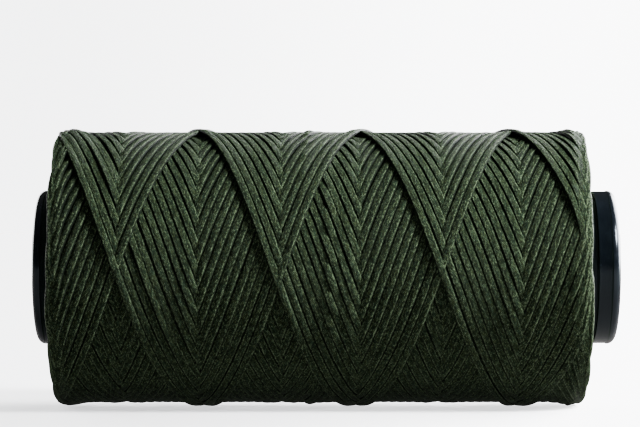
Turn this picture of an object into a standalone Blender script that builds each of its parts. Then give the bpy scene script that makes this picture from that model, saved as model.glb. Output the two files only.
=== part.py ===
"""Spool of waxed thread: a hollow plastic core tube, a flanged bush pressed into each
end of it, and one long flat-braided thread cross-wound on the tube.

Metres, +Z up. The origin is the middle of the core on its bore axis, and the spool lies
on its side with that axis along X. No piece moves on another.
"""

import math

import bpy
import bmesh
from mathutils import Matrix

COLLECTION_NAME = "waxed_thread_spool"
GAP = 0.0003                  # kept between pieces that touch on the real spool

CORE_LENGTH = 0.0800          # over both bushes
TUBE_RADIUS = 0.0101
TUBE_WALL = 0.0012

RING_LENGTH = 0.0027          # the part of a bush that stands outside the tube
RING_BACK_RADIUS = 0.01035    # the ring widens a little from its back to its face
RING_FACE_RADIUS = 0.01066
RING_ROUNDING = 0.0010
BORE_RADIUS = 0.0078
SPIGOT_LENGTH = 0.0060        # the part of a bush that is pressed into the tube
SPIGOT_RADIUS = TUBE_RADIUS - TUBE_WALL - GAP
CHAMFER = 0.0003

WINDING_RADIUS = 0.0190       # to the middle of each flat
WINDING_LENGTH = 0.0728
WINDING_OFFSET = -0.00087     # the thread sits a little nearer the left end
WINDING_SHOULDER = 0.0007
WINDING_FLATS = 32            # each spans 11 degrees, so the spool can rest on one

TURNED_STEPS = 72
ARC_STEPS = 6
SHARP_ANGLE = math.radians(35)

BLACK_PLASTIC = (0.012, 0.013, 0.015)
GREEN_THREAD = (0.020, 0.036, 0.027)


def clear_scene():
    for scene_object in list(bpy.data.objects):
        bpy.data.objects.remove(scene_object, do_unlink=True)


def make_collection(name):
    collection = bpy.data.collections.new(name)
    bpy.context.scene.collection.children.link(collection)
    return collection


def make_material(name, colour, roughness):
    material = bpy.data.materials.new(name)
    material.use_nodes = True
    shader = material.node_tree.nodes["Principled BSDF"]
    shader.inputs["Base Color"].default_value = (*colour, 1.0)
    shader.inputs["Roughness"].default_value = roughness
    shader.inputs["Metallic"].default_value = 0.0
    return material


def corner_arc(radial, height, radius, start_degrees, end_degrees):
    """Points of a rounded corner about (radial, height), with 0 degrees pointing outwards."""
    points = []
    for step in range(ARC_STEPS + 1):
        angle = math.radians(start_degrees + (end_degrees - start_degrees) * step / ARC_STEPS)
        points.append((radial + radius * math.cos(angle), height + radius * math.sin(angle)))
    return points


def turn_profile(name, profile, steps):
    """Turn a closed (radius, height) outline about Z and return the turned mesh."""
    outline = bmesh.new()
    corners = [outline.verts.new((radius, 0.0, height)) for radius, height in profile]
    for start, end in zip(corners, corners[1:] + corners[:1]):
        outline.edges.new((start, end))
    outline_mesh = bpy.data.meshes.new(name + "_outline")
    outline.to_mesh(outline_mesh)
    outline.free()

    lathe = bpy.data.objects.new(name + "_outline", outline_mesh)
    bpy.context.scene.collection.objects.link(lathe)
    screw = lathe.modifiers.new("turn", "SCREW")
    screw.axis = "Z"
    screw.steps = steps
    screw.render_steps = steps
    screw.use_merge_vertices = True
    screw.merge_threshold = 0.00001
    evaluated = lathe.evaluated_get(bpy.context.evaluated_depsgraph_get())
    mesh = bpy.data.meshes.new_from_object(evaluated)
    bpy.data.objects.remove(lathe, do_unlink=True)
    mesh.name = name
    mesh.shade_smooth()
    mesh.set_sharp_from_angle(angle=SHARP_ANGLE)
    return mesh


def add_turned_piece(name, profile, steps, material, collection):
    """A turned piece with its axis laid along +X and a flat of its polygon underneath."""
    piece = bpy.data.objects.new(name, turn_profile(name, profile, steps))
    half_step = math.pi / steps
    piece.matrix_world = Matrix.Rotation(math.pi / 2, 4, "Y") @ Matrix.Rotation(half_step, 4, "Z")
    piece.data.materials.append(material)
    collection.objects.link(piece)
    return piece


def tube_profile():
    end = CORE_LENGTH / 2 - RING_LENGTH - GAP
    inner = TUBE_RADIUS - TUBE_WALL
    return [(TUBE_RADIUS, end), (TUBE_RADIUS, -end), (inner, -end), (inner, end)]


def bush_profile():
    """The right-hand bush: a ring with a rounded rim, then a spigot that enters the tube."""
    face = CORE_LENGTH / 2
    back = face - RING_LENGTH
    tip = back - SPIGOT_LENGTH
    rim = RING_FACE_RADIUS - RING_ROUNDING
    profile = [(BORE_RADIUS + CHAMFER, face)]
    profile += corner_arc(rim, face - RING_ROUNDING, RING_ROUNDING, 90, 0)
    profile += [
        (RING_BACK_RADIUS, back),
        (SPIGOT_RADIUS, back),
        (SPIGOT_RADIUS, tip + CHAMFER),
        (SPIGOT_RADIUS - CHAMFER, tip),
        (BORE_RADIUS, tip),
        (BORE_RADIUS, face - CHAMFER),
    ]
    return profile


def other_end(profile):
    """The same outline for the left end, still running from top to bottom outside."""
    return [(radius, -height) for radius, height in reversed(profile)]


def winding_profile():
    """The package of thread: a thick ring with rounded shoulders."""
    polygon_growth = 1 / math.cos(math.pi / WINDING_FLATS)
    outer = WINDING_RADIUS * polygon_growth
    inner = (TUBE_RADIUS + GAP) * polygon_growth
    right = WINDING_OFFSET + WINDING_LENGTH / 2
    left = WINDING_OFFSET - WINDING_LENGTH / 2
    crown = outer - WINDING_SHOULDER
    profile = [(inner, right - CHAMFER), (inner + CHAMFER, right)]
    profile += corner_arc(crown, right - WINDING_SHOULDER, WINDING_SHOULDER, 90, 0)
    profile += corner_arc(crown, left + WINDING_SHOULDER, WINDING_SHOULDER, 0, -90)
    profile += [(inner + CHAMFER, left), (inner, left + CHAMFER)]
    return profile


def main():
    clear_scene()
    collection = make_collection(COLLECTION_NAME)
    core_pieces = {
        "core_tube": tube_profile(),
        "left_end_bush": other_end(bush_profile()),
        "right_end_bush": bush_profile(),
    }
    for name, profile in core_pieces.items():
        plastic = make_material(name + "_plastic", BLACK_PLASTIC, 0.28)
        add_turned_piece(name, profile, TURNED_STEPS, plastic, collection)
    thread = make_material("waxed_thread", GREEN_THREAD, 0.55)
    add_turned_piece("thread_winding", winding_profile(), WINDING_FLATS, thread, collection)


main()
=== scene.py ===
"""Looks for a spool of waxed thread: one flat-braided thread cross-wound on a black core.

Lengths are in metres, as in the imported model. The thread is laid stroke by stroke on a
height map of the package, so that each pass really lies over the ones before it.
"""

import math

import bpy
import numpy as np
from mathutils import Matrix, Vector


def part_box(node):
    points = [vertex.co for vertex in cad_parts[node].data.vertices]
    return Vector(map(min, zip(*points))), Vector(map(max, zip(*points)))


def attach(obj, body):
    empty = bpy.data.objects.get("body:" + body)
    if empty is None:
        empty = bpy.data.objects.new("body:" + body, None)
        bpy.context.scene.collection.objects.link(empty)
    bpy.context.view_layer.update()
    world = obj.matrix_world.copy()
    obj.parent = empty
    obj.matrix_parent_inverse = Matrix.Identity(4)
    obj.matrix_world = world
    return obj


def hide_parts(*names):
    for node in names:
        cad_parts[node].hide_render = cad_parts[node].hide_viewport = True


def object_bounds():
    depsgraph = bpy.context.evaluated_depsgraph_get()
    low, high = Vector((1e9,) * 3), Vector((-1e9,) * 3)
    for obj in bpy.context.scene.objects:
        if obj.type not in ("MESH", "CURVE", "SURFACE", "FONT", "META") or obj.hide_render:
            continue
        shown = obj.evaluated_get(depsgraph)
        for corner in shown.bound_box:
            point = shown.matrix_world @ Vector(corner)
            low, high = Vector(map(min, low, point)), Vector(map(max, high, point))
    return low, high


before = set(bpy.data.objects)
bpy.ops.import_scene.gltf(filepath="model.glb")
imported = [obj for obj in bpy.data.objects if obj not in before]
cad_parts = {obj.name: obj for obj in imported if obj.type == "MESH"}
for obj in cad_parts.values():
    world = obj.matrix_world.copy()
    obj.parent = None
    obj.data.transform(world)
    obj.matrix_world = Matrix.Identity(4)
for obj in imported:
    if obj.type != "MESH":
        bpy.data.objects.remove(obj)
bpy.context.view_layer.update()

# ---------------------------------------------------------------- sizes from the frame
winding_low, winding_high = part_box("thread_winding")
tube_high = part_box("core_tube")[1]
ring_low, ring_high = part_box("right_end_bush")

MIDDLE_X = (winding_low.x + winding_high.x) / 2
HALF_LENGTH = (winding_high.x - winding_low.x) / 2
PACKAGE_RADIUS = winding_high.z
TUBE_RADIUS = tube_high.z

# ---------------------------------------------------------------- the thread and how it is wound
THREAD_WIDTH = 0.00107        # of the flat-braided thread
THREAD_THICKNESS = 0.00058
TRAVERSE = 0.07546            # between the corners of the ideal zigzag
TURNS = 3.48625               # turns of the spool for one traverse there and back
STROKE_PAIRS = 38             # there-and-back traverses that make the outer layer
START_ANGLE = math.radians(88)  # where the last pair leaves the left end
END_CUT = 0.02                # the thread stops this share of a pair early, low at the back
STEP_HEIGHT = 0.55            # height of the newest edge over the old layer, in thicknesses
SINK = 0.00030                # how far a taut waxed thread presses into the ones below
SHINGLE = math.radians(9)     # each pass leans on the edge of the one before it
SQUARENESS = 0.72             # power of the section's outline: 1 is oval, near 0 is a box
LAY_STEP = 0.00040            # between two laid points, along the thread
FINE_STEP = 0.33              # of a laid point, between the places where the map is raised
PAIRS_AT_ONCE = 0.25          # a stretch: what is laid before the map is read again
STRETCH_MARGIN = 0.0032       # what is read before and after a stretch, for the smoothing
FEEL_WIDTH = 0.72             # share of its width over which a thread rests on those below
TAUT_REACH = 0.0026           # over this length a taut thread bridges what is below
SOFT_REACH = 0.0008           # and over this length it can still bend
LEAN_REACH = 0.0022           # over this length its lean follows what is below
MOST_LEAN = 0.25              # radians
SHINGLE_REACH = 0.004         # the shingled lean changes sides over this length at an end turn
CROWN_POWER = 3.0             # of the outline that a laid thread leaves on the map
WOBBLE = 0.00003              # how far the thread wanders sideways
WANDER_REACH = 0.012          # and over what length
PAIR_SCATTER = math.radians(0.35)  # how unevenly the pairs are spaced round the spool
MAP_LEVEL = 1.3               # height of the shoulders on the map, in thicknesses
CELL = 0.00015                # of the height map
MAP_MARGIN = 30               # columns at each end that say nothing of the package's top
TOP_PERCENTILE = 80           # the share of the map's cells that are under the mean top
RING_EVERY = 2                # a ring of the thread's mesh at every second laid point
THREAD_MESHES = 4             # runs that the one outer thread is split into
TUCKED_LENGTH = 0.010         # the free end goes under its neighbours over this length
TUCKED_DEPTH = 0.0009         # and ends this deep

SHOULDER_LENGTH = 0.0030      # the package's rounded ends
SHOULDER_DROP = 0.0008        # how much lower the package is at its very ends
SHOULDER_POWER = 2.5          # of the curve in which it drops
SOFTNESS = 0.0256             # share of a pair that an end turn takes to each side
SOFTNESS_SCATTER = 0.0030     # how much that varies from turn to turn

HALF_TURNS = 3.5              # half turns of a traverse one way, at the pattern's nominal ratio
PASSES_ROUND = 36.4           # pairs that it takes to cover the package once
INSIDE_ROWS, INSIDE_COLUMNS = 240, 250  # of the body of older passes
INSIDE_SHARP = math.radians(50)  # its edges from this angle on are hard
RIDGE_DEPTH = 0.00022         # of the grooves between its passes
RIDGE_POWER = 4               # the higher, the narrower the grooves

EDGE_TURN_X = TRAVERSE / 2 * (1 - 2 * SOFTNESS)  # middle of the thread at an end turn
END_TURN_REACH = math.radians(34)  # how far it shows to each side round the spool
END_TURN_REACHES = (0.9, 1.1)  # shares of that reach
END_TURN_SPREAD = 0.03        # radians that a turn is out of its place round the spool
END_TURN_SAG = 0.0021         # how far its ends go in from the face
END_TURN_CLIMB = 0.00060      # how much its radius changes from its middle to an end
END_TURN_CLIMBS = (0.6, 1.5)  # shares of that climb
END_TURN_SCATTER = 0.00016    # how far it is out of its place in X and in radius
END_TURN_LEAN = 0.05          # radians that it is tilted out of flat
END_TURN_POINTS = 19
FACE_DEPTH = 0.0009           # how far the body of older passes stays behind the end turns
FACE_TOP = PACKAGE_RADIUS - 0.0014  # the end turns lie between these two radii
FACE_BOTTOM = TUBE_RADIUS + 0.0004

# ---------------------------------------------------------------- looks of the thread and plastic
BRAID_PITCH = 0.00042         # along the thread, from one crossing of strands to the next
BRAID_STRANDS = 3.2           # crossings for each unit across the thread
BRAID_DRIFT = 0.6             # how far the crossings wander, in pitches
BRAID_NOISE = {               # cells a metre along, cells a unit across, detail and roughness
    "drift": (420.0, 1.0, 2.0, 0.5),
    "fibres": (1500.0, 7.0, 3.0, 0.62),
    "patches": (1700.0, 2.6, 2.0, 0.5),
    "grain": (5600.0, 6.5, 2.0, 0.7),
    # flecks of painted glint on the strands
    "glint_flecks": (3600.0, 9.0, 1.0, 0.5),
    "wax": (900.0, 2.0, 2.0, 0.5),
}
BODY_RANGE = (1.10, 1.75)     # of the summed shade, from deep green to lit green
GLINT_RANGE = (0.77, 0.97)     # of the summed glint mask, up to the painted highlight's pale green
EDGE_GLINT_RANGE = (0.34, 0.54)   # distance from the thread's middle where a painted highlight lies along both edges
FLANK_SHADE_RANGE = (0.60, 0.82)    # and where painted shade darkens its sides, down into the gaps
GAP_SHADE_END_RANGE = (0.0022, 0.0008)  # the painted shade in the gaps ends this far from the package's ends
WAX_ROUGHNESS = (0.35, 0.65, 0.52, 0.34)  # range of the wax noise, then both roughnesses
BRAID_RELIEF = 0.00010
FIBRE_RELIEF = 0.00003
DEEP_GREEN = (0.0060, 0.0115, 0.0055)   # painted shade in the creases between the strands, and the dark end of the random tone
LIT_GREEN_WARM = (0.0720, 0.1020, 0.0360)  # each strand is tinted between this
LIT_GREEN_COOL = (0.0380, 0.0860, 0.0520)  # and this
FLANK_SHADE_GREEN = (0.0110, 0.0170, 0.0120)  # painted shade on the sides, down in the gaps
GLINT_GREEN = (0.3000, 0.4200, 0.2400)   # painted glints and edge highlights on the strands
SHEEN_GREEN = (0.72, 0.85, 0.60, 1)

BURIED_FIBRES = (3200.0, 3.0, 0.65)     # scale, detail and roughness of a noise
BURIED_PATCHES = (500.0, 2.0)
BURIED_RANGE = (0.4, 0.9)               # of the summed shade, from deep green to lit green
BURIED_RELIEF = 0.00005

PLASTIC_HAZE = (420.0, 4.0, 0.6)
PLASTIC_SPECKS = (2600.0, 2.0, 0.7)
PLASTIC_BLACK = (0.0045, 0.0075, 0.0115)
PLASTIC_DUST = (0.012, 0.018, 0.026)
PLASTIC_GLOSS = (0.76, 0.88, 1.0, 1)
HAZE_GREY = (0.35, 0.70, 0.0, 0.5)      # range of the haze, then its share of dust
SPECK_GREY = (0.60, 0.75, 0.0, 0.5)     # and the same of the specks
HAZE_RANGE = (0.30, 0.75)               # of the haze, from smoothest to roughest
BUSH_ROUGHNESS = (0.17, 0.27)
TUBE_ROUGHNESS = (0.42, 0.56)
ORANGE_PEEL = 0.000008

# ---------------------------------------------------------------- the core's end rings
TUBE_WALL = 0.0012
RING_LENGTH = 0.0030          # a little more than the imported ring, to meet the tube
RING_STEP = 0.00009           # the lip at the rim over the ring's band
RIM_ROUNDING = 0.0010
LIP_ROUNDING = 0.00008
BEAD = 0.00012                # a fine moulded bead behind the ring's band
BORE_RADIUS = 0.0078
BORE_ROUNDING = 0.0003
TIP_ROUNDING = 0.0004         # of the end of the spigot inside the tube
BAND_ROUNDING = 0.0001
LIP_DEPTH = 0.00022           # of the step from the lip down to the band
FACE_GROOVE = 0.0089          # a fine moulded groove round the ring's face
GROOVE_SIZE = 0.0001
GROOVE_ROUNDING = 0.00005
RING_STEPS = 240
RING_SHARP = math.radians(40)  # its edges from this angle on are hard

# ---------------------------------------------------------------- the stage and the camera
SKY_COLOUR = (0.97, 0.985, 1.0, 1)
SKY_TOWARDS = (0.15, 0.10, 0.85)  # where the soft sky is brightest
SKY_RANGE = (0.1, 1.0, 0.03, 0.09)  # low and high share of a direction, then both strengths
GLOSS_TOWARDS = (0.75, 0.60, 0.20)  # a white wall at the right that only gloss reflects
GLOSS_RANGE = (0.80, 0.90, 0.0, 30.0)
BACKDROP_COLOUR = (0.975, 0.985, 1.0, 1)
BACKDROP_TOWARDS = (1, 0, 0)  # the white backdrop is a little brighter at the right
BACKDROP_RANGE = (-0.12, 0.12, 5.8, 10.0)
FLOOR_SIZE = 6
FLOOR_COLOUR = (0.22, 0.21, 0.20)
FLOOR_ROUGHNESS = 0.9
FLOOR_GLOW = 0.10
LIGHTS = {                    # place, size and power
    "key": ((0.250, -0.092, 0.172), (0.08, 0.08), 1.85),
    "window": ((0.42, 0.34, 0.05), (0.40, 0.20), 1.2),
    "back": ((-0.30, 0.45, 0.04), (0.40, 0.20), 2.0),
}
CAMERA_DISTANCE = 0.370
CAMERA_HEIGHT = 0.00747
CAMERA_SENSOR = 36
CAMERA_LENS = 149.2


def reversal_softness(pairs, rng):
    """How much of a pair each end turn takes; it varies a little from turn to turn."""
    return SOFTNESS + rng.uniform(-SOFTNESS_SCATTER, SOFTNESS_SCATTER, 2 * pairs + 3)


def traverse_position(tau, softness):
    """X of the thread guide, -1 to 1, at pair count tau: a zigzag with rounded turns."""
    corner = np.round(tau * 2)
    distance = np.abs(tau - corner / 2)
    soft = softness[(-corner).astype(int)]
    zigzag = np.where(distance < soft, 1 - 2 * soft - 2 * distance ** 2 / soft, 1 - 4 * distance)
    side = np.where(corner.astype(int) % 2 == 0, -1.0, 1.0)
    return side * zigzag


def smooth(values, reach):
    """Gaussian smoothing along an array, with its ends held."""
    size = max(1, int(3 * reach))
    kernel = np.exp(-0.5 * (np.arange(-size, size + 1) / reach) ** 2)
    kernel /= kernel.sum()
    padded = np.pad(values, size, mode="edge")
    return np.convolve(padded, kernel, mode="valid")


def thread_route():
    """Pair count, X and angle of every point on the thread's outer layer, oldest first."""
    rng = np.random.default_rng(7)
    step = LAY_STEP / (2 * math.pi * PACKAGE_RADIUS * TURNS)
    tau = np.arange(-STROKE_PAIRS, -END_CUT, step)
    softness = reversal_softness(STROKE_PAIRS, rng)
    wander = smooth(rng.normal(0, 1, len(tau)), WANDER_REACH / LAY_STEP)
    wander *= WOBBLE / wander.std()
    x = TRAVERSE / 2 * traverse_position(tau, softness) + wander
    end_angle = START_ANGLE + 2 * math.pi * TURNS
    scatter = rng.normal(0, PAIR_SCATTER, STROKE_PAIRS + 3)
    jitter = np.interp(tau, np.arange(-STROKE_PAIRS - 1, 2), scatter)
    angle = end_angle + 2 * math.pi * TURNS * tau + jitter
    return tau, x, angle


def front_angles(x):
    """Angle of the newest rising pass and of the newest falling pass at X."""
    sweep = math.pi * HALF_TURNS
    share = x / TRAVERSE
    return START_ANGLE + sweep * (share + 0.5), START_ANGLE + sweep * (1.5 - share)


def front_age(angle, front):
    """How long ago the old layer was covered, 0 to 1, by how far the fronts have moved since."""
    age = ((angle - front) % math.pi) / math.pi
    overlap = STROKE_PAIRS / PASSES_ROUND - 1
    return np.where(age < overlap, age + 1, age)


class HeightMap:
    """Height of the package over its nominal radius, by angle (rows) and X (columns)."""

    def __init__(self):
        self.columns = int(2 * (HALF_LENGTH + 0.002) / CELL)
        self.rows = int(2 * math.pi * PACKAGE_RADIUS / CELL)
        self.height = self.old_layer()
        self.level = THREAD_THICKNESS * MAP_LEVEL

    def old_layer(self):
        x = (np.arange(self.columns) + 0.5) * CELL - self.columns * CELL / 2
        angle = (np.arange(self.rows)[:, None] + 0.5) / self.rows * 2 * math.pi
        return self.old_layer_at(x, angle)

    def old_layer_at(self, x, angle):
        """The layer under the outer one: lower where the outer one was laid long ago."""
        ages = sum(front_age(angle, front) for front in front_angles(x))
        return -STEP_HEIGHT * THREAD_THICKNESS * ages

    def cells(self, x, angle):
        column = np.floor((x + self.columns * CELL / 2) / CELL).astype(int)
        row = np.floor((angle / (2 * math.pi) % 1) * self.rows).astype(int) % self.rows
        return row, np.clip(column, 0, self.columns - 1)

    def read(self, x, angle):
        return self.height[self.cells(x, angle)]

    def raise_to(self, x, angle, top):
        np.maximum.at(self.height, self.cells(x, angle), top)


def end_limit(x, level):
    """The most that a thread may stand up at X: the shoulders are rounded and pressed."""
    beyond = np.clip((np.abs(x) - (HALF_LENGTH - SHOULDER_LENGTH)) / SHOULDER_LENGTH, 0, 1)
    return level - SHOULDER_DROP * beyond ** SHOULDER_POWER


def lay_thread():
    """Lay the whole route on the height map, a stretch at a time.

    A thread rests halfway between the highest place under its width and the mean of them, and
    leans with the difference between its two edges. Returns X, angle, height of the centre
    over the package's radius and tilt of every point, and then the map.
    """
    tau, x, angle = thread_route()
    package = HeightMap()
    slope = np.arctan2(np.gradient(x), np.gradient(angle) * PACKAGE_RADIUS)
    centre = np.zeros(len(tau))
    tilt = np.zeros(len(tau))
    across = np.linspace(-1, 1, 9)
    fine = np.linspace(-1, 1, 15)
    crown = THREAD_THICKNESS * (0.5 + 0.5 * np.sqrt(1 - np.abs(fine) ** CROWN_POWER))
    half = THREAD_WIDTH / 2
    edges_apart = 1.2 * half
    chunk = int(PAIRS_AT_ONCE / (tau[1] - tau[0]))
    margin = int(STRETCH_MARGIN / LAY_STEP)
    for start in range(0, len(tau), chunk):
        low = max(0, start - margin)
        high = min(len(tau), start + chunk + margin)
        side_x = np.cos(slope[low:high])
        side_angle = -np.sin(slope[low:high]) / PACKAGE_RADIUS
        below = np.array([package.read(x[low:high] + share * half * side_x,
                                       angle[low:high] + share * half * side_angle)
                          for share in across * FEEL_WIDTH])
        support = 0.5 * below.max(0) + 0.5 * below.mean(0)
        taut = smooth(support, TAUT_REACH / LAY_STEP)
        support = smooth(np.maximum(taut, support - SINK), SOFT_REACH / LAY_STEP)
        support = np.minimum(support, end_limit(x[low:high], package.level))
        lean = (below[-3:].mean(0) - below[:3].mean(0)) / edges_apart
        lean = smooth(lean, LEAN_REACH / LAY_STEP)
        shingle = smooth(-SHINGLE * np.sign(slope[low:high]), SHINGLE_REACH / LAY_STEP)
        end = min(start + chunk, len(tau))
        inner, outer = slice(start - low, end - low), slice(start, end)
        centre[outer] = support[inner] + THREAD_THICKNESS / 2
        tilt[outer] = np.clip(lean[inner], -MOST_LEAN, MOST_LEAN) + shingle[inner]
        dense = np.arange(start, end - 1, FINE_STEP)
        dense_x, dense_angle, dense_slope, dense_centre, dense_tilt = (
            np.interp(dense, np.arange(len(tau)), values)
            for values in (x, angle, slope, centre, tilt))
        dense_base = dense_centre - THREAD_THICKNESS / 2
        for share, top in zip(fine, crown):
            package.raise_to(dense_x + share * half * np.cos(dense_slope),
                             dense_angle - share * half * np.sin(dense_slope) / PACKAGE_RADIUS,
                             dense_base + top + share * half * dense_tilt)
    inside = package.height[:, MAP_MARGIN:-MAP_MARGIN]
    package.mean_top = float(np.percentile(inside, TOP_PERCENTILE))
    return x, angle, centre - package.mean_top, tilt, package


def on_package(x, angle, radius):
    """World place of a point given from the spool's middle: angle 0 faces -Y, up is +."""
    return np.stack([MIDDLE_X + x, -radius * np.cos(angle), radius * np.sin(angle)], -1)


def section_points():
    """The thread's section, -1 to 1 both ways, and the share of the way round at each point."""
    turn = np.radians([0, 33, 57, 90, 123, 147, 180, 213, 237, 270, 303, 327, 360])
    across = np.sign(np.cos(turn)) * np.abs(np.cos(turn)) ** SQUARENESS
    up = np.sign(np.sin(turn)) * np.abs(np.sin(turn)) ** SQUARENESS
    steps = np.hypot(np.diff(across) * THREAD_WIDTH, np.diff(up) * THREAD_THICKNESS)
    share = np.concatenate([[0], np.cumsum(steps)]) / steps.sum()
    return across[:-1], up[:-1], share


def tube_surface(centres, outwards, tilt, lengths):
    """Points, quads, end caps and UV of one closed flat tube.

    The UV is metres along the thread, and the share of the way around it, from 0 at one edge
    through 0.25 in the middle of its upper side.
    """
    along = np.gradient(centres, axis=0)
    along /= np.linalg.norm(along, axis=1)[:, None]
    side = np.cross(outwards, along)
    side /= np.linalg.norm(side, axis=1)[:, None]
    up = np.cross(along, side)
    cosine, sine = np.cos(tilt)[:, None], np.sin(tilt)[:, None]
    side, up = side * cosine + up * sine, up * cosine - side * sine
    across, rise, share = section_points()
    sides, rings = len(across), len(centres)
    points = (centres[:, None, :]
              + side[:, None, :] * (across * THREAD_WIDTH / 2)[None, :, None]
              + up[:, None, :] * (rise * THREAD_THICKNESS / 2)[None, :, None])
    ring = np.arange(rings - 1)[:, None] * sides
    step = np.arange(sides)[None, :]
    following = (step + 1) % sides
    quads = np.stack([ring + step, ring + following,
                      ring + sides + following, ring + sides + step], -1)
    caps = np.stack([np.arange(sides)[::-1], (rings - 1) * sides + np.arange(sides)])
    u0 = np.repeat(lengths[:-1], sides)
    u1 = np.repeat(lengths[1:], sides)
    v0 = np.tile(share[:-1], rings - 1)
    v1 = np.tile(share[1:], rings - 1)
    uv = np.stack([u0, v0, u0, v1, u1, v1, u1, v0], -1).reshape(-1, 2)
    return points.reshape(-1, 3), quads.reshape(-1, 4), caps, uv


def mesh_from(name, points, *face_sets):
    """A smooth-shaded mesh; each face set is an array with one row of point numbers a face."""
    corners = np.concatenate([faces.ravel() for faces in face_sets])
    sizes = np.concatenate([np.full(len(faces), faces.shape[1]) for faces in face_sets])
    mesh = bpy.data.meshes.new(name)
    mesh.vertices.add(len(points))
    mesh.vertices.foreach_set("co", points.astype(np.float32).ravel())
    mesh.loops.add(len(corners))
    mesh.loops.foreach_set("vertex_index", corners.astype(np.int32))
    mesh.polygons.add(len(sizes))
    mesh.polygons.foreach_set("loop_start", (np.cumsum(sizes) - sizes).astype(np.int32))
    mesh.update(calc_edges=True)
    mesh.shade_smooth()
    return mesh


def tubes_mesh(name, tubes):
    """One mesh of several closed flat tubes, each given by centres, outwards, tilt, lengths."""
    points, quads, caps, uv = [], [], [], []
    first = 0
    for tube in tubes:
        surface = tube_surface(*tube)
        points.append(surface[0])
        quads.append(surface[1] + first)
        caps.append(surface[2] + first)
        uv.append(surface[3])
        first += len(surface[0])
    caps = np.concatenate(caps)
    uv.append(np.zeros((caps.size, 2)))
    mesh = mesh_from(name, np.concatenate(points), np.concatenate(quads), caps)
    layer = mesh.uv_layers.new(name="UVMap")
    layer.data.foreach_set("uv", np.concatenate(uv).astype(np.float32).ravel())
    return mesh


def wrapped_mesh(name, points):
    """A closed mesh over a grid of points that joins up with itself both ways."""
    number = np.arange(points.shape[0] * points.shape[1]).reshape(points.shape[:2])
    right = np.roll(number, -1, 1)
    quads = np.stack([number, right, np.roll(right, -1, 0), np.roll(number, -1, 0)], -1)
    return mesh_from(name, points.reshape(-1, 3), quads.reshape(-1, 4))


def add_piece(mesh, material, node):
    """A visible piece on the spool's one body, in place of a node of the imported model."""
    piece = bpy.data.objects.new(mesh.name, mesh)
    bpy.context.scene.collection.objects.link(piece)
    mesh.materials.append(material)
    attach(piece, "root")
    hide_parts(node)


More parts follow.
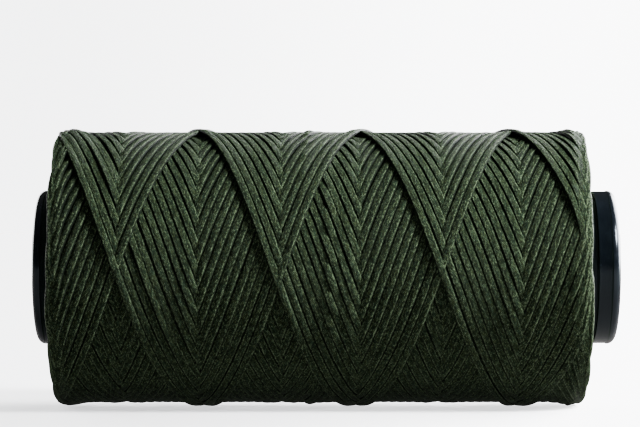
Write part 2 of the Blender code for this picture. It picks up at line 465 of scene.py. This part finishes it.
class Shading:
    """A node material, with short calls for the nodes that its pattern needs."""

    def __init__(self, name, roughness, **uniform):
        self.material = bpy.data.materials.new(name)
        self.material.use_nodes = True
        self.tree = self.material.node_tree
        self.shader = self.tree.nodes["Principled BSDF"]
        self.shader.inputs["Roughness"].default_value = roughness
        for socket, value in uniform.items():
            self.shader.inputs[socket.replace("_", " ")].default_value = value

    def put(self, value, socket):
        """Link another node's output to a socket, or set the socket to a plain value."""
        if isinstance(value, bpy.types.NodeSocket):
            self.tree.links.new(value, socket)
        else:
            socket.default_value = value

    def math(self, operation, first, second=0.0):
        node = self.tree.nodes.new("ShaderNodeMath")
        node.operation = operation
        self.put(first, node.inputs[0])
        self.put(second, node.inputs[1])
        return node.outputs[0]

    def weighted_sum(self, *terms):
        """Sum of (value, weight) pairs."""
        total = 0.0
        for value, weight in terms:
            total = self.math("ADD", self.math("MULTIPLY", value, weight), total)
        return total

    def ramp(self, value, low, high, new_low=0.0, new_high=1.0):
        """A smooth step from new_low to new_high as the value goes from low to high."""
        node = self.tree.nodes.new("ShaderNodeMapRange")
        node.interpolation_type = "SMOOTHSTEP"
        for place, item in enumerate((value, low, high, new_low, new_high)):
            self.put(item, node.inputs[place])
        return node.outputs[0]

    def mix(self, share, first, second):
        node = self.tree.nodes.new("ShaderNodeMix")
        node.data_type = "RGBA"
        self.put(share, node.inputs["Factor"])
        for item, socket in ((first, node.inputs[6]), (second, node.inputs[7])):
            self.put(item if isinstance(item, bpy.types.NodeSocket) else (*item, 1), socket)
        return node.outputs[2]

    def vector(self, x, y, z=0.0):
        node = self.tree.nodes.new("ShaderNodeCombineXYZ")
        for item, socket in zip((x, y, z), node.inputs):
            self.put(item, socket)
        return node.outputs[0]

    def noise(self, vector, scale, detail=2.0, roughness=0.5):
        node = self.tree.nodes.new("ShaderNodeTexNoise")
        self.put(vector, node.inputs["Vector"])
        node.inputs["Scale"].default_value = scale
        node.inputs["Detail"].default_value = detail
        node.inputs["Roughness"].default_value = roughness
        return node.outputs["Fac"]

    def braid_noise(self, kind, along, across, seed=0.0):
        """Noise that follows the thread, as BRAID_NOISE gives it."""
        lengthways, sideways, detail, roughness = BRAID_NOISE[kind]
        place = self.vector(self.math("MULTIPLY", along, lengthways),
                            self.math("MULTIPLY", across, sideways), seed)
        return self.noise(place, 1.0, detail, roughness)

    def chance(self, cell):
        """An even random number for each whole-number cell."""
        node = self.tree.nodes.new("ShaderNodeTexWhiteNoise")
        self.put(cell, node.inputs["Vector"])
        return node.outputs["Value"]

    def strand(self, sideways, lengthways):
        """Height of a strand, arched across and along the stretch where it shows."""
        centred = self.math("SUBTRACT", self.math("MULTIPLY", sideways, 2.0), 1.0)
        crown = self.math("SUBTRACT", 1.0, self.math("MULTIPLY", centred, centred))
        arch = self.math("SINE", self.math("MULTIPLY", lengthways, math.pi))
        rise = self.math("ADD", 0.35, self.math("MULTIPLY", arch, 0.65))
        return self.math("MULTIPLY", self.math("SQRT", crown), rise)

    def uv(self):
        """Metres along the thread, and the share of the way round it."""
        node = self.tree.nodes.new("ShaderNodeUVMap")
        node.uv_map = "UVMap"
        split = self.tree.nodes.new("ShaderNodeSeparateXYZ")
        self.tree.links.new(node.outputs[0], split.inputs[0])
        return split.outputs[0], split.outputs[1]

    def place(self):
        return self.tree.nodes.new("ShaderNodeTexCoord").outputs["Object"]

    def distance_from_middle(self):
        """How far along the spool a point is from the middle of the thread."""
        split = self.tree.nodes.new("ShaderNodeSeparateXYZ")
        self.tree.links.new(self.place(), split.inputs[0])
        return self.math("ABSOLUTE", self.math("SUBTRACT", split.outputs[0], MIDDLE_X))

    def bump(self, height, distance, normal=None):
        node = self.tree.nodes.new("ShaderNodeBump")
        node.inputs["Strength"].default_value = 1.0
        node.inputs["Distance"].default_value = distance
        self.put(height, node.inputs["Height"])
        if normal is not None:
            self.put(normal, node.inputs["Normal"])
        return node.outputs[0]


def thread_shading(name, shaded_gaps):
    """Waxed braid: fine strands that slant both ways and pass over and under each other.

    Across the thread, 0 is the middle of its upper side and 1 a quarter of the way round it.
    With shaded gaps, shade is painted on the sides where they face each other in the gaps of a
    layer.
    """
    look = Shading(name, 0.5, Specular_IOR_Level=0.05, Sheen_Weight=0.02,
                   Sheen_Roughness=0.45, Sheen_Tint=SHEEN_GREEN)
    along, around = look.uv()
    across = look.math("MULTIPLY", look.math("SUBTRACT", around, 0.25), 4.0)
    drift = look.math("MULTIPLY", look.braid_noise("drift", along, across), BRAID_DRIFT)
    stitch = look.math("ADD", look.math("DIVIDE", along, BRAID_PITCH), drift)
    slant = look.math("MULTIPLY", across, BRAID_STRANDS)
    one_way = look.math("ADD", stitch, slant)
    other_way = look.math("SUBTRACT", stitch, slant)
    one_share, other_share = look.math("FRACT", one_way), look.math("FRACT", other_way)
    one_number, other_number = look.math("FLOOR", one_way), look.math("FLOOR", other_way)
    over = look.math("FLOORED_MODULO", look.math("ADD", one_number, other_number), 2.0)
    one_strand = look.math("MULTIPLY", over, look.strand(other_share, one_share))
    other_strand = look.math("MULTIPLY", look.math("SUBTRACT", 1.0, over),
                             look.strand(one_share, other_share))
    strands = look.math("ADD", one_strand, other_strand)
    chance = look.chance(look.vector(one_number, other_number, over))
    tint = look.chance(look.vector(other_number, one_number, 5.0))
    fibres = look.braid_noise("fibres", along, across, look.math("MULTIPLY", over, 9.0))
    patches = look.braid_noise("patches", along, across, 4.0)
    grain = look.braid_noise("grain", along, across, over)
    glint_flecks = look.braid_noise("glint_flecks", along, across, 2.0)
    wax = look.braid_noise("wax", along, across, 8.0)
    aside = look.math("ABSOLUTE", across)

    lit = look.mix(tint, LIT_GREEN_WARM, LIT_GREEN_COOL)
    # the strands' height makes their crowns lighter and the creases between them darker, painted
    # highlight and painted shade; grain, patches and chance are random tone
    shade = look.weighted_sum((strands, 0.75), (grain, 0.85), (patches, 0.5), (chance, 0.45))
    colour = look.mix(look.ramp(shade, *BODY_RANGE), DEEP_GREEN, lit)
    # painted highlights: pale glints in flecks, on the strands' crowns and along both edges of
    # the thread
    glints = look.weighted_sum((glint_flecks, 1.0), (chance, 0.18), (strands, 0.15),
                             (look.ramp(aside, *EDGE_GLINT_RANGE), 0.12))
    colour = look.mix(look.ramp(glints, *GLINT_RANGE), colour, GLINT_GREEN)
    # painted shade on the thread's sides in the gaps between passes, fading out near the
    # package's ends
    if shaded_gaps:
        gap_end, dark_end = (HALF_LENGTH - distance for distance in GAP_SHADE_END_RANGE)
        gaps = look.ramp(look.distance_from_middle(), gap_end, dark_end, 1.0, 0.0)
        flank_shade = look.math("MULTIPLY", look.ramp(aside, *FLANK_SHADE_RANGE), gaps)
        colour = look.mix(flank_shade, colour, FLANK_SHADE_GREEN)
    look.put(colour, look.shader.inputs["Base Color"])
    look.put(look.ramp(wax, *WAX_ROUGHNESS), look.shader.inputs["Roughness"])
    relief = look.bump(look.weighted_sum((strands, 1.0), (chance, 0.35)), BRAID_RELIEF)
    look.put(look.bump(fibres, FIBRE_RELIEF, relief), look.shader.inputs["Normal"])
    return look.material


def buried_thread_shading():
    """The thread of older passes, deep in the gaps: the same green with coarse fibres."""
    look = Shading("waxed_braid_below", 0.62, Specular_IOR_Level=0.25)
    place = look.place()
    fibres = look.noise(place, *BURIED_FIBRES)
    patches = look.noise(place, *BURIED_PATCHES)
    shade = look.weighted_sum((patches, 0.4), (fibres, 0.8))
    colour = look.mix(look.ramp(shade, *BURIED_RANGE), DEEP_GREEN, LIT_GREEN_WARM)
    look.put(colour, look.shader.inputs["Base Color"])
    look.put(look.bump(fibres, BURIED_RELIEF), look.shader.inputs["Normal"])
    return look.material


def plastic_shading(name, smoothest, roughest):
    """Black plastic: gloss with faint haze and specks, and the slightest orange peel."""
    look = Shading(name, smoothest, Specular_IOR_Level=0.6, Specular_Tint=PLASTIC_GLOSS)
    place = look.place()
    haze = look.noise(place, *PLASTIC_HAZE)
    specks = look.noise(place, *PLASTIC_SPECKS)
    grey = look.math("ADD", look.ramp(haze, *HAZE_GREY), look.ramp(specks, *SPECK_GREY))
    roughness = look.ramp(haze, *HAZE_RANGE, smoothest, roughest)
    look.put(look.mix(grey, PLASTIC_BLACK, PLASTIC_DUST), look.shader.inputs["Base Color"])
    look.put(roughness, look.shader.inputs["Roughness"])
    look.put(look.bump(haze, ORANGE_PEEL), look.shader.inputs["Normal"])
    return look.material


def floor_shading():
    """A matt grey that glows faintly, so that the shadow on it stays as light as in a tent."""
    return Shading("floor", FLOOR_ROUGHNESS, Base_Color=(*FLOOR_COLOUR, 1),
                   Emission_Color=(1, 1, 1, 1), Emission_Strength=FLOOR_GLOW).material


def path_lengths(centres):
    return np.concatenate([[0], np.cumsum(np.linalg.norm(np.diff(centres, axis=0), axis=1))])


def build_outer_layer(material):
    """The newest layer of the wound thread, as one continuous flat tube in four meshes."""
    x, angle, height, tilt, package = lay_thread()
    picked = np.arange(0, len(x), RING_EVERY)
    x, angle, height, tilt = x[picked], angle[picked], height[picked], tilt[picked]
    radius = PACKAGE_RADIUS + height
    centres = on_package(x, angle, radius)
    lengths = path_lengths(centres)
    tucked = np.clip(1 - (lengths[-1] - lengths) / TUCKED_LENGTH, 0, 1)
    radius -= TUCKED_DEPTH * tucked ** 2 * (3 - 2 * tucked)
    centres = on_package(x, angle, radius)
    outwards = on_package(x * 0, angle, radius * 0 + 1) - np.array([MIDDLE_X, 0, 0])
    bounds = np.linspace(0, len(picked) - 1, THREAD_MESHES + 1).astype(int)
    for number in range(THREAD_MESHES):
        part = slice(bounds[number], bounds[number + 1] + 1)
        tube = (centres[part], outwards[part], tilt[part], lengths[part])
        mesh = tubes_mesh(f"thread_wraps_{number + 1}", [tube])
        add_piece(mesh, material, "thread_winding")
    print("thread in the outer layer", round(lengths[-1], 2), "m;",
          "radius", radius.min(), radius.max())
    return package


def build_layer_below(package, material):
    """What the outer layer lies on: the older passes as one ridged body, down to the tube."""
    half = EDGE_TURN_X - FACE_DEPTH
    x = np.linspace(-half, half, INSIDE_COLUMNS)
    angle = np.arange(INSIDE_ROWS)[:, None] / INSIDE_ROWS * 2 * math.pi
    rising, falling = front_angles(x)
    height = package.old_layer_at(x, angle)
    newer = front_age(angle, rising) < front_age(angle, falling)
    passes = np.where(newer, angle - rising, angle - falling) / (2 * math.pi) * PASSES_ROUND
    ridge = 1 - np.abs(np.sin(math.pi * passes)) ** RIDGE_POWER
    outer = PACKAGE_RADIUS - package.mean_top + height - RIDGE_DEPTH * (1 - ridge)
    shoulder = PACKAGE_RADIUS + end_limit(x, package.level) - package.mean_top - RIDGE_DEPTH
    outer = np.minimum(outer, shoulder)
    inner = np.full((INSIDE_ROWS, 2), TUBE_RADIUS + 0.0001)
    radius = np.concatenate([outer, inner], 1)
    x = np.concatenate([x, [half, -half]])
    points = on_package(x[None, :] + radius * 0, angle + radius * 0, radius)
    mesh = wrapped_mesh("wound_thread_inside", points)
    mesh.set_sharp_from_angle(angle=INSIDE_SHARP)
    add_piece(mesh, material, "thread_winding")


def build_end_turns(material):
    """The older end turns that show edge-on at both end faces of the package."""
    rng = np.random.default_rng(11)
    for name, side in (("left_end_turns", -1), ("right_end_turns", 1)):
        tubes = []
        turns = int((FACE_TOP - FACE_BOTTOM) / (2 * THREAD_THICKNESS) * PASSES_ROUND)
        for number in range(turns):
            pair = -STROKE_PAIRS - number - (0.5 if side > 0 else 0)
            middle = START_ANGLE + 2 * math.pi * TURNS * (1 + pair)
            middle += rng.normal(0, END_TURN_SPREAD)
            turn = np.linspace(-1, 1, END_TURN_POINTS)
            reach = END_TURN_REACH * rng.uniform(*END_TURN_REACHES)
            edge = EDGE_TURN_X - abs(rng.normal(0, END_TURN_SCATTER))
            x = side * (edge - END_TURN_SAG * turn ** 2)
            radius = FACE_TOP - (FACE_TOP - FACE_BOTTOM) * number / turns
            climb = END_TURN_CLIMB * rng.uniform(*END_TURN_CLIMBS)
            radius = radius - climb * turn + rng.normal(0, END_TURN_SCATTER)
            angle = middle + turn * reach
            centres = on_package(x, angle, radius)
            outwards = on_package(x * 0, angle, radius * 0 + 1) - np.array([MIDDLE_X, 0, 0])
            lengths = path_lengths(centres) + rng.uniform(0, 1)
            tilt = rng.normal(0, END_TURN_LEAN) + turn * 0
            tubes.append((centres, outwards, tilt, lengths))
        add_piece(tubes_mesh(name, tubes), material, "thread_winding")


def arc(radial, height, size, start, end, steps=5):
    """Points of a rounded corner about (radial, height), with 0 degrees pointing outwards."""
    turn = np.radians(np.linspace(start, end, steps + 1))
    return [(radial + size * math.cos(a), height + size * math.sin(a)) for a in turn]


def ring_profile():
    """Radius and height of the right-hand bush's outline, outer side from the face inwards."""
    face = ring_high.x
    back = face - RING_LENGTH
    tip = ring_low.x
    lip = ring_high.z
    band = lip - RING_STEP
    spigot = TUBE_RADIUS - TUBE_WALL
    rim = lip - RIM_ROUNDING
    bead = TUBE_RADIUS + 0.00004
    bore = BORE_RADIUS + BORE_ROUNDING
    groove_edge = face - GROOVE_ROUNDING
    outline = []
    outline += arc(bore, face - BORE_ROUNDING, BORE_ROUNDING, 180, 90)
    outline += arc(FACE_GROOVE - 2 * GROOVE_SIZE, groove_edge, GROOVE_ROUNDING, 90, 0, 3)
    outline += arc(FACE_GROOVE, face - 1.2 * GROOVE_SIZE, GROOVE_SIZE, 180, 360, 5)
    outline += arc(FACE_GROOVE + 2 * GROOVE_SIZE, groove_edge, GROOVE_ROUNDING, 180, 90, 3)
    outline += arc(rim, face - RIM_ROUNDING, RIM_ROUNDING, 90, 10, 9)
    outline += arc(lip - LIP_ROUNDING, face - RIM_ROUNDING - 0.00003, LIP_ROUNDING, 10, -50, 3)
    outline += [(band, face - RIM_ROUNDING - LIP_DEPTH)]
    outline += arc(band - BAND_ROUNDING, back + BAND_ROUNDING, BAND_ROUNDING, 0, -90)
    outline += [(bead, back + 0.00002)]
    outline += arc(bead, back - BEAD, BEAD, 70, -70, 6)
    outline += [(spigot + 0.0001, back - 2 * BEAD), (spigot, back - 2 * BEAD - 0.0001)]
    outline += arc(spigot - TIP_ROUNDING, tip + TIP_ROUNDING, TIP_ROUNDING, 0, -90)
    outline += arc(bore, tip + BORE_ROUNDING, BORE_ROUNDING, -90, -180)
    return outline


def build_bushes(material):
    """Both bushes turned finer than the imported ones, with their edges rounded as moulded."""
    outline = np.array(ring_profile())
    angle = np.arange(RING_STEPS)[:, None] / RING_STEPS * 2 * math.pi
    radius, x = outline[None, :, 0] + angle * 0, outline[None, :, 1] + angle * 0
    for side in (-1, 1):
        points = np.stack([side * x, -radius * np.cos(angle), radius * np.sin(angle)], -1)
        name = "left" if side < 0 else "right"
        mesh = wrapped_mesh(f"{name}_bush_moulded", points if side > 0 else points[::-1])
        mesh.set_sharp_from_angle(angle=RING_SHARP)
        add_piece(mesh, material, f"{name}_end_bush")


def area_light(name, location, size, power):
    """A soft light that shines on the middle of the spool."""
    data = bpy.data.lights.new(name, "AREA")
    data.shape = "RECTANGLE"
    data.size, data.size_y = size
    data.energy = power
    light = bpy.data.objects.new(name, data)
    light.location = location
    light.rotation_euler = (-Vector(location)).to_track_quat("-Z", "Y").to_euler()
    light.visible_camera = False
    bpy.context.scene.collection.objects.link(light)


def sky_glow(nodes, links, direction, limits):
    """Strength of the sky around a direction: low and high share of it, then both strengths."""
    view = nodes.new("ShaderNodeTexCoord")
    towards = nodes.new("ShaderNodeVectorMath")
    towards.operation = "DOT_PRODUCT"
    towards.inputs[1].default_value = Vector(direction).normalized()
    links.new(view.outputs["Generated"], towards.inputs[0])
    glow = nodes.new("ShaderNodeMapRange")
    glow.interpolation_type = "SMOOTHSTEP"
    for place, value in enumerate(limits):
        glow.inputs[place + 1].default_value = value
    links.new(towards.outputs["Value"], glow.inputs[0])
    return glow.outputs[0]


def make_stage():
    """A floor that only takes the shadow, the world around it, and the lights."""
    bpy.ops.mesh.primitive_plane_add(size=FLOOR_SIZE, location=(0, 0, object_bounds()[0][2]))
    floor = bpy.context.object
    floor.name = "floor"
    floor.data.materials.append(floor_shading())
    floor.is_shadow_catcher = True
    world = bpy.data.worlds.new("studio")
    world.use_nodes = True
    nodes, links = world.node_tree.nodes, world.node_tree.links
    sky = nodes["Background"]
    sky.inputs["Color"].default_value = SKY_COLOUR
    seen = nodes.new("ShaderNodeLightPath")
    strength = sky_glow(nodes, links, SKY_TOWARDS, SKY_RANGE)
    wall = nodes.new("ShaderNodeMath")
    wall.operation = "MULTIPLY_ADD"
    links.new(sky_glow(nodes, links, GLOSS_TOWARDS, GLOSS_RANGE), wall.inputs[0])
    links.new(seen.outputs["Is Glossy Ray"], wall.inputs[1])
    links.new(strength, wall.inputs[2])
    links.new(wall.outputs[0], sky.inputs["Strength"])
    backdrop = nodes.new("ShaderNodeBackground")
    backdrop.inputs["Color"].default_value = BACKDROP_COLOUR
    brightness = sky_glow(nodes, links, BACKDROP_TOWARDS, BACKDROP_RANGE)
    links.new(brightness, backdrop.inputs["Strength"])
    either = nodes.new("ShaderNodeMixShader")
    links.new(seen.outputs["Is Camera Ray"], either.inputs["Fac"])
    links.new(sky.outputs[0], either.inputs[1])
    links.new(backdrop.outputs[0], either.inputs[2])
    links.new(either.outputs[0], nodes["World Output"].inputs["Surface"])
    bpy.context.scene.world = world
    for name, (place, size, power) in LIGHTS.items():
        area_light(name, place, size, power)


def make_camera():
    """The photo's view: level and from the front, a little above the spool's middle."""
    data = bpy.data.cameras.new("camera")
    data.sensor_width = CAMERA_SENSOR
    data.lens = CAMERA_LENS
    camera = bpy.data.objects.new("camera", data)
    camera.location = (MIDDLE_X, -CAMERA_DISTANCE, CAMERA_HEIGHT)
    camera.rotation_euler = (math.pi / 2, 0, 0)
    bpy.context.scene.collection.objects.link(camera)
    bpy.context.scene.camera = camera


make_camera()
thread_material = thread_shading("waxed_braid", True)
end_turn_material = thread_shading("waxed_braid_end_turns", False)
buried_material = buried_thread_shading()
bush_material = plastic_shading("black_moulded_plastic", *BUSH_ROUGHNESS)
tube_material = plastic_shading("black_extruded_plastic", *TUBE_ROUGHNESS)
package = build_outer_layer(thread_material)
build_layer_below(package, buried_material)
build_end_turns(end_turn_material)
build_bushes(bush_material)
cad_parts["core_tube"].data.materials.clear()
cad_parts["core_tube"].data.materials.append(tube_material)
make_stage()
